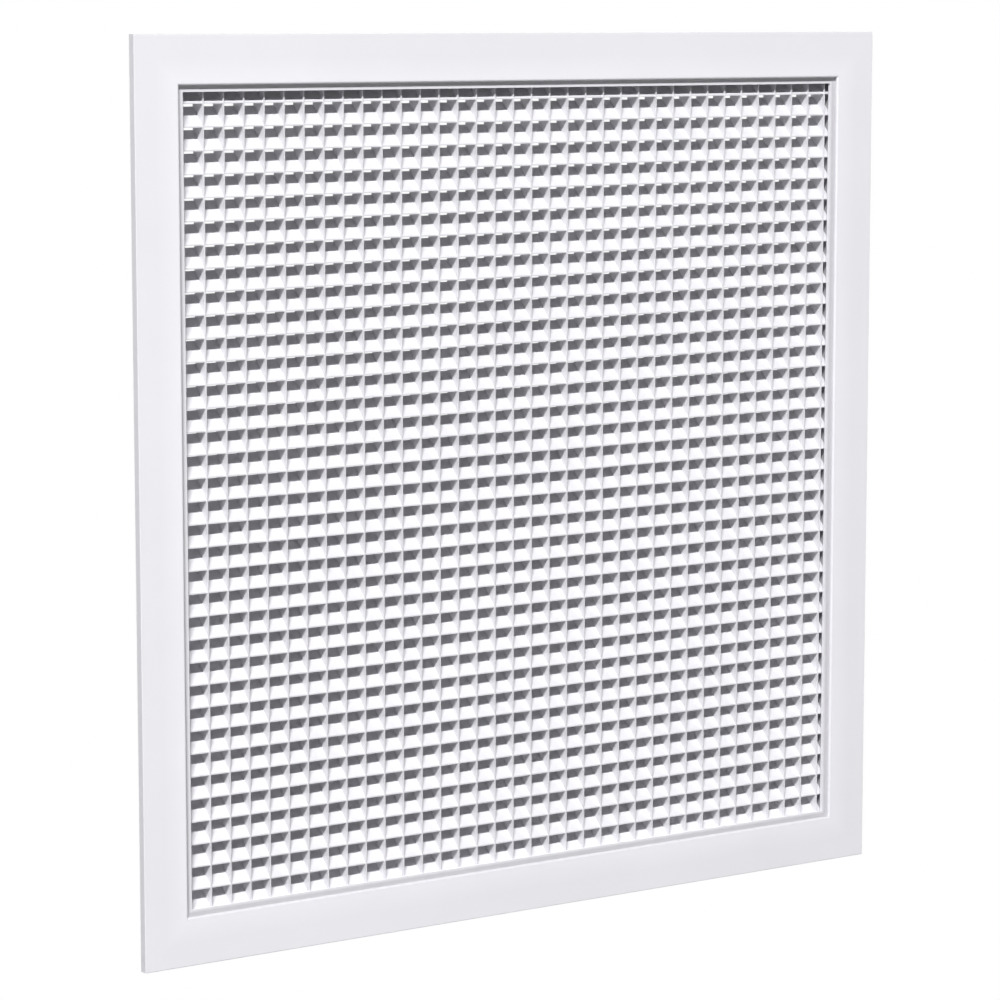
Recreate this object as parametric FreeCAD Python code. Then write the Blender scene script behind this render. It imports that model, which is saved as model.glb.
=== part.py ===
import FreeCAD, Part

import math
import os

from FreeCAD import Vector

# Square eggcrate grille, all sizes in millimetres.
# X runs along the face, Z up the face, Y back into the opening that the grille covers.
# The origin is the middle of that opening, in the plane of the surface the flange bears on.

# Frame: one extruded aluminium bar, cut into four mitred lengths
face_size = 600.0          # square face, outer edge to outer edge
flange_width = 32.0        # visible border, outer edge to neck
wall = 1.5                 # thickness of flange, neck and rear rib
return_depth = 6.0         # the outer edge is turned back this far behind the face
neck_depth = 24.0          # how far the neck reaches behind the bearing surface
outer_edge_radius = 0.5    # face to outer edge
inner_edge_radius = 1.3    # face to neck
lip_setback = 3.1          # front of the inner lip, behind the face
lip_width = 4.3            # how far the lip reaches into the opening
lip_thickness = 2.0
seat_width = 2.0           # ledge behind the lip, on which the core bears
rear_rib_width = 3.0       # how far the rear rib reaches into the opening

# Corner keys: flat angles in a channel behind the flange, crimped in place
key_width = 12.6
key_thickness = 2.3
key_leg = 45.0             # outer corner to leg end
key_play = 0.1             # all round in its channel
hook_width = 1.5           # ledges that keep the key in its channel
hook_thickness = 1.2

# Core: upright strips, slotted from behind, and tilted blades pushed into the slots
core_setback = 6.9         # front of the core, behind the face
core_play = 0.2            # core to frame, all round
cell_pitch = 14.95         # strip to strip and blade to blade
strip_thickness = 0.8
strip_web = 0.6            # uncut front edge of a strip
strip_set_size = 3         # neighbouring strips kept in one file
blade_thickness = 0.6
blade_depth = 12.2         # front to back, square to the face
blade_tilt = 45.0          # degrees: the front edge is the low one
slot_play = 0.05           # blade to slot, all round

# Planes across the depth
face_y = -return_depth
flange_back_y = face_y + wall
hook_y = flange_back_y + key_thickness + 2 * key_play
lip_y = face_y + lip_setback
lip_back_y = lip_y + lip_thickness
core_y = face_y + core_setback
seat_y = core_y - core_play
core_depth = strip_web + blade_depth
core_back_y = core_y + core_depth
rear_rib_y = core_back_y + core_play

# Distances out from the middle of the opening
outer = face_size / 2
neck_inner = outer - flange_width
neck_outer = neck_inner + wall
key_inner = neck_outer + key_play
key_outer = key_inner + key_width
rib_inner = key_outer + key_play
core_half = neck_inner - core_play


def rounded_wire(corners):
    """Closed outline in the plane of Y and Z: each corner is (z, y, radius), and a square corner has radius 0."""
    places = [Vector(0, y, z) for z, y, radius in corners]
    edges, starts, ends = [], [], []
    for i, (z, y, radius) in enumerate(corners):
        here = places[i]
        back = (places[i - 1] - here).normalize()
        ahead = (places[(i + 1) % len(places)] - here).normalize()
        starts.append(here + back * radius)
        ends.append(here + ahead * radius)
        if radius:
            centre = here + (back + ahead) * radius
            middle = centre - (back + ahead).normalize() * radius
            edges.append(Part.Arc(starts[i], middle, ends[i]).toShape())
    for i, end in enumerate(ends):
        edges.append(Part.LineSegment(end, starts[(i + 1) % len(starts)]).toShape())
    return Part.Wire(Part.__sortEdges__(edges))


def frame_bar():
    """The top length: face flange, outer return, key channel, neck, and the groove that holds the core."""
    section = [
        (outer, face_y, outer_edge_radius),
        (outer, 0, 0),
        (outer - wall, 0, 0),
        (outer - wall, flange_back_y, 0),
        (rib_inner + hook_thickness, flange_back_y, 0),
        (rib_inner + hook_thickness, hook_y + hook_thickness, 0),
        (rib_inner - hook_width, hook_y + hook_thickness, 0),
        (rib_inner - hook_width, hook_y, 0),
        (rib_inner, hook_y, 0),
        (rib_inner, flange_back_y, 0),
        (neck_outer, flange_back_y, 0),
        (neck_outer, hook_y, 0),
        (neck_outer + hook_width, hook_y, 0),
        (neck_outer + hook_width, hook_y + hook_thickness, 0),
        (neck_outer, hook_y + hook_thickness, 0),
        (neck_outer, neck_depth, 0),
        (neck_inner, neck_depth, 0),
        (neck_inner, rear_rib_y + wall, 0),
        (neck_inner - rear_rib_width, rear_rib_y + wall, 0),
        (neck_inner - rear_rib_width, rear_rib_y, 0),
        (neck_inner, rear_rib_y, 0),
        (neck_inner, seat_y, 0),
        (neck_inner - seat_width, seat_y, 0),
        (neck_inner - seat_width, lip_back_y, 0),
        (neck_inner - lip_width, lip_back_y, 0),
        (neck_inner - lip_width, lip_y, 0),
        (neck_inner, lip_y, 0),
        (neck_inner, face_y, inner_edge_radius),
    ]
    bar = Part.Face(rounded_wire(section)).extrude(Vector(face_size, 0, 0))
    bar.translate(Vector(-outer, 0, 0))
    between_mitres = Part.makePolygon(
        [Vector(0, face_y, 0), Vector(-face_size, face_y, face_size), Vector(face_size, face_y, face_size)], True
    )
    return bar.common(Part.Face(between_mitres).extrude(Vector(0, neck_depth - face_y, 0)))


def corner_key():
    """Flat angle for the upper right corner: it joins two lengths of the frame across their mitre."""
    leg_end = key_outer - key_leg
    outline = [
        (key_outer, key_outer),
        (key_outer, leg_end),
        (key_inner, leg_end),
        (key_inner, key_inner),
        (leg_end, key_inner),
        (leg_end, key_outer),
    ]
    corners = [Vector(x, flange_back_y + key_play, z) for x, z in outline]
    return Part.Face(Part.makePolygon(corners, True)).extrude(Vector(0, key_thickness, 0))


def tilted_section(low, x, play=0.0, overrun=0.0):
    """Section of a blade whose front edge is at height low, or of its slot with play round it."""
    slope = math.tan(math.radians(blade_tilt))
    upright = 1 / math.cos(math.radians(blade_tilt))
    front, back = core_y + strip_web - play, core_back_y + overrun
    under = low - play * upright - play * slope
    over = low + (blade_thickness + play) * upright - play * slope
    rise = (back - front) * slope
    corners = [(front, under), (back, under + rise), (back, over + rise), (front, over)]
    return Part.Face(Part.makePolygon([Vector(x, y, z) for y, z in corners], True))


def blade_heights():
    """Height of each blade's front edge, from the top down. The lowest one stands a web above the core's end."""
    lowest = strip_web - core_half
    room = core_half - strip_web - blade_thickness / math.cos(math.radians(blade_tilt)) - lowest
    count = int(room // cell_pitch) + 1
    return [lowest + i * cell_pitch for i in reversed(range(count))]


def blade(low):
    """One tilted blade across the core. The top one is trimmed level with the core's upper end."""
    whole = tilted_section(low, -core_half).extrude(Vector(2 * core_half, 0, 0))
    room = Part.makeBox(2 * core_half, core_depth, 2 * core_half, Vector(-core_half, core_y, -core_half))
    return whole.common(room)


def strip():
    """One upright strip on the middle line, with a slanted slot from behind for every blade."""
    corners = [(core_y, -core_half), (core_back_y, -core_half), (core_back_y, core_half), (core_y, core_half)]
    plate = Part.Face(Part.makePolygon([Vector(0, y, z) for y, z in corners], True))
    slots = [tilted_section(low, 0, slot_play, strip_web) for low in blade_heights()]
    slotted = max(plate.cut(slots).Faces, key=lambda face: face.Area)
    solid = slotted.extrude(Vector(strip_thickness, 0, 0))
    solid.translate(Vector(-strip_thickness / 2, 0, 0))
    return solid


def strip_places():
    """Strip middles from left to right, centred, with a part cell left over at each side."""
    cells = int((2 * core_half - strip_thickness) // cell_pitch)
    return [(i - cells / 2) * cell_pitch for i in range(cells + 1)]


def turned(shape, quarter_turns):
    """A copy turned about the depth axis, a quarter at a time: the top goes to the right side first."""
    copy = shape.copy()
    copy.rotate(Vector(0, 0, 0), Vector(0, 1, 0), 90 * quarter_turns)
    return copy


def moved(shape, x):
    copy = shape.copy()
    copy.translate(Vector(x, 0, 0))
    return copy


def save(node, shape):
    shape.exportStep(f"parts/{node}.step")


os.makedirs("parts", exist_ok=True)

bar = frame_bar()
for turn, side in enumerate(["top", "right", "bottom", "left"]):
    save(f"frame_{side}", turned(bar, turn))

key = corner_key()
for turn, corner in enumerate(["top_right", "bottom_right", "bottom_left", "top_left"]):
    save(f"corner_key_{corner}", turned(key, turn))

for number, height in enumerate(blade_heights(), start=1):
    save(f"blade_{number:02d}", blade(height))

upright = strip()
places = strip_places()
for number, first in enumerate(range(0, len(places), strip_set_size), start=1):
    strips = [moved(upright, x) for x in places[first:first + strip_set_size]]
    save(f"strip_set_{number:02d}", Part.makeCompound(strips))
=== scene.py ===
import bpy
import math
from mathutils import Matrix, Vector


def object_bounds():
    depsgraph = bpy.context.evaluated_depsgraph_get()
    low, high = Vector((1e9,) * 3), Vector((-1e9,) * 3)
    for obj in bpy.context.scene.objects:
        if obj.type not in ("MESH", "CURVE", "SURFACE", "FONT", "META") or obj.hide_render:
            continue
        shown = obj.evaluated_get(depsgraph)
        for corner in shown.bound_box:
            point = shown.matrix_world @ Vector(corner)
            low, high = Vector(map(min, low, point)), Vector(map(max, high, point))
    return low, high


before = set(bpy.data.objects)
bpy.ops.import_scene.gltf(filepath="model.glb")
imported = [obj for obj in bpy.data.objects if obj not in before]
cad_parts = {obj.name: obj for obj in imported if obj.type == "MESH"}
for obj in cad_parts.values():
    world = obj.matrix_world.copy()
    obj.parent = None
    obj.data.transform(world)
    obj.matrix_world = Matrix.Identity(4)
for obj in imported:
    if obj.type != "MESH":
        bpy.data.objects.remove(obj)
cad_low, cad_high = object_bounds()


# Camera: the photograph's own viewpoint, a little above the middle and well to its left.
# It looks down by 7.5 degrees and to the right by 34.5.
camera = bpy.data.objects.new("camera", bpy.data.cameras.new("camera"))
camera.data.sensor_width = 36.0
camera.data.lens = 131.83
camera.data.clip_end = 100.0
camera.location = (-1.41334, -2.02808, 0.31112)
downward, to_the_right = 7.527, 34.507
camera.rotation_euler = (math.radians(90 - downward), 0.0, math.radians(-to_the_right))
bpy.context.scene.collection.objects.link(camera)
bpy.context.scene.camera = camera


# Frame: four lengths of one extruded aluminium section, mitred at the corners and joined behind the border.
# Each has a wide flat border, a turned-back outer edge, a lip in front of the core and a neck round it.
# The lengths are cut first, then washed, sprayed with powder and baked.
def linear(hex_colour):
    """An sRGB hex colour as linear RGBA."""
    parts = [int(hex_colour[i:i + 2], 16) / 255 for i in (1, 3, 5)]
    return [p / 12.92 if p <= 0.04045 else ((p + 0.055) / 1.055) ** 2.4 for p in parts] + [1.0]


def add(tree, kind, sockets=None, **settings):
    """Adds a shader node and gives its outputs. A socket takes a value, or a link from another node."""
    node = tree.nodes.new(kind)
    for name, value in settings.items():
        setattr(node, name, value)
    for name, source in (sockets or {}).items():
        if isinstance(source, bpy.types.NodeSocket):
            tree.links.new(source, node.inputs[name])
        else:
            node.inputs[name].default_value = source
    return node.outputs


def bare_finish(name):
    """A material with no nodes yet, and its node tree."""
    finish = bpy.data.materials.new(name)
    finish.use_nodes = True
    finish.node_tree.nodes.clear()
    return finish, finish.node_tree


def finish_parts(start_of_name, finish):
    """Gives a finish to each CAD part whose name starts that way."""
    for name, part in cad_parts.items():
        if name.startswith(start_of_name):
            part.data.materials.clear()
            part.data.materials.append(finish)


mm = 0.001
outer_edge = cad_high[0]
border_width = 32 * mm
opening = outer_edge - border_width

# Satin white polyester powder coat, a touch cooler than pure white: it gives a soft wide highlight and
# a faint orange-peel skin. Its colour also carries painted light and shade: a painted glow that makes the
# border lighter along its inner edge, and painted shade on the rounded inner edge, the turned-back outer
# edge, the sides that face up, the recess behind the border and the groove that holds the core.
powder_coat, tree = bare_finish("satin_white_powder_coat")
place = add(tree, "ShaderNodeTexCoord")["Object"]
axes = add(tree, "ShaderNodeSeparateXYZ", {"Vector": place})
sideways = add(tree, "ShaderNodeMath", {0: axes["X"]}, operation="ABSOLUTE")[0]
upwards = add(tree, "ShaderNodeMath", {0: axes["Z"]}, operation="ABSOLUTE")[0]
out_from_middle = add(tree, "ShaderNodeMath", {0: sideways, 1: upwards}, operation="MAXIMUM")[0]
bar_section = add(tree, "ShaderNodeCombineXYZ", {"X": out_from_middle, "Y": axes["Y"]})[0]


def painted_shade_oval(out, depth, width, height, least):
    """Painted shade round one point of the bar's section: the coat's colour is scaled by least inside an
    oval, and by 1 outside it.
    """
    oval = add(tree, "ShaderNodeMapping", {
        "Vector": bar_section, "Location": (out, depth, 0.0), "Scale": (width, height, 1.0),
    }, vector_type="TEXTURE")[0]
    from_its_middle = add(tree, "ShaderNodeVectorMath", {0: oval}, operation="LENGTH")["Value"]
    return add(tree, "ShaderNodeMapRange", {
        "Value": from_its_middle, "From Min": 0.3, "From Max": 1.2, "To Min": least,
    })[0]


# Painted light: the border's colour drops by up to 6% within 17 mm of its inner edge, so a painted glow lies
# along it.
painted_glow_inwards = add(tree, "ShaderNodeMapRange", {
    "Value": out_from_middle, "From Min": opening + 1 * mm, "From Max": opening + 17 * mm,
    "To Min": 1.0, "To Max": 0.94,
})[0]
# Painted shade: sides that face up are darkened by up to 16%, by which way they face.
normal = add(tree, "ShaderNodeTexCoord")["Normal"]
facing_up = add(tree, "ShaderNodeSeparateXYZ", {"Vector": normal})["Z"]
painted_shade_on_top = add(tree, "ShaderNodeMapRange", {
    "Value": facing_up, "From Min": 0.1, "From Max": 0.7, "To Min": 1.0, "To Max": 0.84,
})[0]
# The coat's colour carries painted light and shade: the glow along the inner edge, shade on the sides that
# face up, and painted shade in the recess between border and lip, on the rounded inner edge, on the
# turned-back outer edge and in the groove that holds the core.
painted_light_and_shade = painted_glow_inwards
for factor in (
    painted_shade_on_top,
    painted_shade_oval(opening - 1.2 * mm, -2.9 * mm, 3.0 * mm, 1.9 * mm, 0.64),  # recess between border and lip
    painted_shade_oval(opening + 0.4 * mm, -5.6 * mm, 1.4 * mm, 1.4 * mm, 0.92),  # rounded inner edge
    painted_shade_oval(outer_edge, -3.0 * mm, 0.5 * mm, 6.0 * mm, 0.88),          # turned-back outer edge
    painted_shade_oval(opening, 6.5 * mm, 1.0 * mm, 8.5 * mm, 0.50),              # groove that holds the core
):
    painted_light_and_shade = add(tree, "ShaderNodeMath", {0: painted_light_and_shade, 1: factor}, operation="MULTIPLY")[0]

patch = 110 * mm  # the layer's thickness wanders over a hand's width
patches = add(tree, "ShaderNodeTexNoise", {"Vector": place, "Scale": 1 / patch, "Detail": 3.0})["Fac"]
patch_tone = add(tree, "ShaderNodeMapRange", {"Value": patches, "From Min": 0.3, "From Max": 0.7})[0]
white = add(tree, "ShaderNodeMixRGB", {
    "Fac": patch_tone, "Color1": linear("#f2f1f6"), "Color2": linear("#f5f4f9"),
})[0]
shown_white = add(tree, "ShaderNodeVectorMath", {0: white, "Scale": painted_light_and_shade}, operation="SCALE")[0]
satin = add(tree, "ShaderNodeMapRange", {"Value": patches, "To Min": 0.40, "To Max": 0.50})[0]
ripple = 2.4 * mm  # orange peel is 1 to 3 mm across: the coarse end of that, because less doesn't show
ripples = add(tree, "ShaderNodeTexNoise", {"Vector": place, "Scale": 1 / ripple, "Detail": 2.0})["Fac"]
peel = add(tree, "ShaderNodeBump", {"Height": ripples, "Strength": 0.05, "Distance": 0.2 * mm})[0]
coat = add(tree, "ShaderNodeBsdfPrincipled", {
    "Base Color": shown_white, "Roughness": satin, "Normal": peel,
})[0]
add(tree, "ShaderNodeOutputMaterial", {"Surface": coat})
finish_parts("frame_", powder_coat)


# Corner keys: flat angles cut from extruded aluminium, pushed into the channel behind the border.
# Each one crosses a mitre and is crimped in place, and the metal is left bare.
# Mill-finish aluminium: it gives a dull grey metal gloss, with straight die lines along one leg.
mill_aluminium, tree = bare_finish("mill_finish_aluminium")
place = add(tree, "ShaderNodeTexCoord")["Object"]
line_width, line_length = 0.6 * mm, 9 * mm  # real lines are under 0.1 mm: drawn coarser, or they don't show
stretched = add(tree, "ShaderNodeMapping", {
    "Vector": place, "Scale": (1 / line_length, 1 / line_width, 1 / line_width),
})[0]
lines = add(tree, "ShaderNodeTexNoise", {"Vector": stretched, "Scale": 1.0, "Detail": 3.0})["Fac"]
line_tone = add(tree, "ShaderNodeMapRange", {"Value": lines, "From Min": 0.3, "From Max": 0.7})[0]
grey = add(tree, "ShaderNodeMixRGB", {
    "Fac": line_tone, "Color1": linear("#bdbec1"), "Color2": linear("#d0d1d4"),
})[0]
dull = add(tree, "ShaderNodeMapRange", {"Value": lines, "To Min": 0.30, "To Max": 0.46})[0]
furrows = add(tree, "ShaderNodeBump", {"Height": lines, "Strength": 0.2, "Distance": 0.1 * mm})[0]
metal = add(tree, "ShaderNodeBsdfPrincipled", {
    "Base Color": grey, "Roughness": dull, "Normal": furrows, "Metallic": 1.0,
})[0]
add(tree, "ShaderNodeOutputMaterial", {"Surface": metal})
finish_parts("corner_key_", mill_aluminium)


# Upright strips of the core: 0.8 mm aluminium strip, slit from coil that was painted white before it was cut.
# A comb of slanted slots is punched into each from behind, and its ends stand in the frame's groove.
def coil_coat(name, grain):
    """Thin baked enamel on rolled strip: a clean flat white, with the rolling grain faint in its gloss."""
    finish, tree = bare_finish(name)
    place = add(tree, "ShaderNodeTexCoord")["Object"]
    stretched = add(tree, "ShaderNodeMapping", {"Vector": place, "Scale": [1 / size for size in grain]})[0]
    streaks = add(tree, "ShaderNodeTexNoise", {"Vector": stretched, "Scale": 1.0, "Detail": 4.0})["Fac"]
    batch = 70 * mm  # the paint's tone wanders slowly along the coil
    batches = add(tree, "ShaderNodeTexNoise", {"Vector": place, "Scale": 1 / batch, "Detail": 2.0})["Fac"]
    batch_tone = add(tree, "ShaderNodeMapRange", {"Value": batches, "From Min": 0.3, "From Max": 0.7})[0]
    white = add(tree, "ShaderNodeMixRGB", {
        "Fac": batch_tone, "Color1": linear("#dcdce0"), "Color2": linear("#e1e0e4"),
    })[0]
    satin = add(tree, "ShaderNodeMapRange", {"Value": streaks, "To Min": 0.36, "To Max": 0.48})[0]
    rolled = add(tree, "ShaderNodeBump", {"Height": streaks, "Strength": 0.1, "Distance": 0.2 * mm})[0]
    enamel = add(tree, "ShaderNodeBsdfPrincipled", {
        "Base Color": white, "Roughness": satin, "Normal": rolled,
    })[0]
    add(tree, "ShaderNodeOutputMaterial", {"Surface": enamel})
    return finish


across, along = 0.8 * mm, 25 * mm  # real grain is about 0.1 mm across: drawn coarser, or it doesn't show
finish_parts("strip_set_", coil_coat("white_coil_coat_upright_grain", (across, across, along)))


# Tilted blades of the core: 0.6 mm strip from the same painted coil, cut to the core's width.
# Each is pushed from behind into the slots of all the upright strips, and nothing else holds it.
finish_parts("blade_", coil_coat("white_coil_coat_level_grain", (along, across, across)))


# Floor: plain and pale, well below the grille, because the grille is held up by its border.
# It is seen and mirrored as white, apart from the grille's shadow on it, and other rays meet a plain grey.
floor_mesh = bpy.data.meshes.new("floor")
reach, drop = 30.0, -1.3
corners = [(-reach, -reach, drop), (reach, -reach, drop), (reach, reach, drop), (-reach, reach, drop)]
floor_mesh.from_pydata(corners, [], [(0, 1, 2, 3)])
floor = bpy.data.objects.new("floor", floor_mesh)
bpy.context.scene.collection.objects.link(floor)

pale_floor, tree = bare_finish("pale_floor")
ray = add(tree, "ShaderNodeLightPath")
seen = add(tree, "ShaderNodeMath", {0: ray["Is Camera Ray"], 1: ray["Is Glossy Ray"]}, operation="MAXIMUM")[0]
place = add(tree, "ShaderNodeTexCoord")["Object"]
from_the_grille = add(tree, "ShaderNodeVectorMath", {0: place}, operation="LENGTH")["Value"]
shadow_fades = add(tree, "ShaderNodeMapRange", {
    "Value": from_the_grille, "From Min": 2.0, "From Max": 3.6,
})[0]
matt = add(tree, "ShaderNodeBsdfDiffuse", {"Color": linear("#8c8c8c")})[0]
lifted = add(tree, "ShaderNodeEmission", {"Color": linear("#ffffff"), "Strength": 0.78})[0]
plain_white = add(tree, "ShaderNodeEmission", {"Color": linear("#ffffff"), "Strength": 1.0})[0]
shadowed = add(tree, "ShaderNodeAddShader", {0: matt, 1: lifted})[0]
looks = add(tree, "ShaderNodeMixShader", {0: shadow_fades, 1: shadowed, 2: plain_white})[0]
surface = add(tree, "ShaderNodeMixShader", {0: seen, 1: matt, 2: looks})[0]
add(tree, "ShaderNodeOutputMaterial", {"Surface": surface})
floor_mesh.materials.append(pale_floor)


# Studio: plain white where it is seen or mirrored.
# It gives only a dim fill to everything else, because the lamps light the grille.
studio = bpy.data.worlds.new("studio")
bpy.context.scene.world = studio
studio.use_nodes = True
tree = studio.node_tree
tree.nodes.clear()
ray = add(tree, "ShaderNodeLightPath")
dim_fill = add(tree, "ShaderNodeBackground", {"Color": linear("#ffffff"), "Strength": 0.01})[0]
plain_white = add(tree, "ShaderNodeBackground", {"Color": linear("#ffffff"), "Strength": 1.0})[0]
around = add(tree, "ShaderNodeMixShader", {0: ray["Is Diffuse Ray"], 1: plain_white, 2: dim_fill})[0]
add(tree, "ShaderNodeOutputWorld", {"Surface": around})


# Lamps: the front one is a long bar, up and to the left, soft across the upright strips and thin, so that
# the blades' shadows on each other stay crisp. The back one shines a little flatter than the blades' slope
# and the side one almost level with the border, so that they stay off what shows in the cells in front.
def lamp(name, power, width, height, place, aim):
    """A rectangular lamp. Its width lies level."""
    light = bpy.data.lights.new(name, "AREA")
    light.shape = "RECTANGLE"
    light.size, light.size_y = width, height
    light.energy = power
    stand = bpy.data.objects.new(name, light)
    stand.location = place
    stand.rotation_euler = (Vector(aim) - Vector(place)).to_track_quat("-Z", "Y").to_euler()
    bpy.context.scene.collection.objects.link(stand)


lamp("front_lamp", power=2095.0, width=4.7, height=0.47, place=(-5.54, -6.75, 7.83), aim=(-5.54, 0.0, 0.0))
lamp("back_lamp", power=260.0, width=1.2, height=1.2, place=(-0.35, 5.0, 4.2), aim=(0.0, 0.0, 0.0))
lamp("side_lamp", power=80.0, width=1.0, height=1.0, place=(5.5, -0.25, 0.6), aim=(0.0, 0.0, 0.0))

bpy.context.scene.view_settings.view_transform = "Standard"
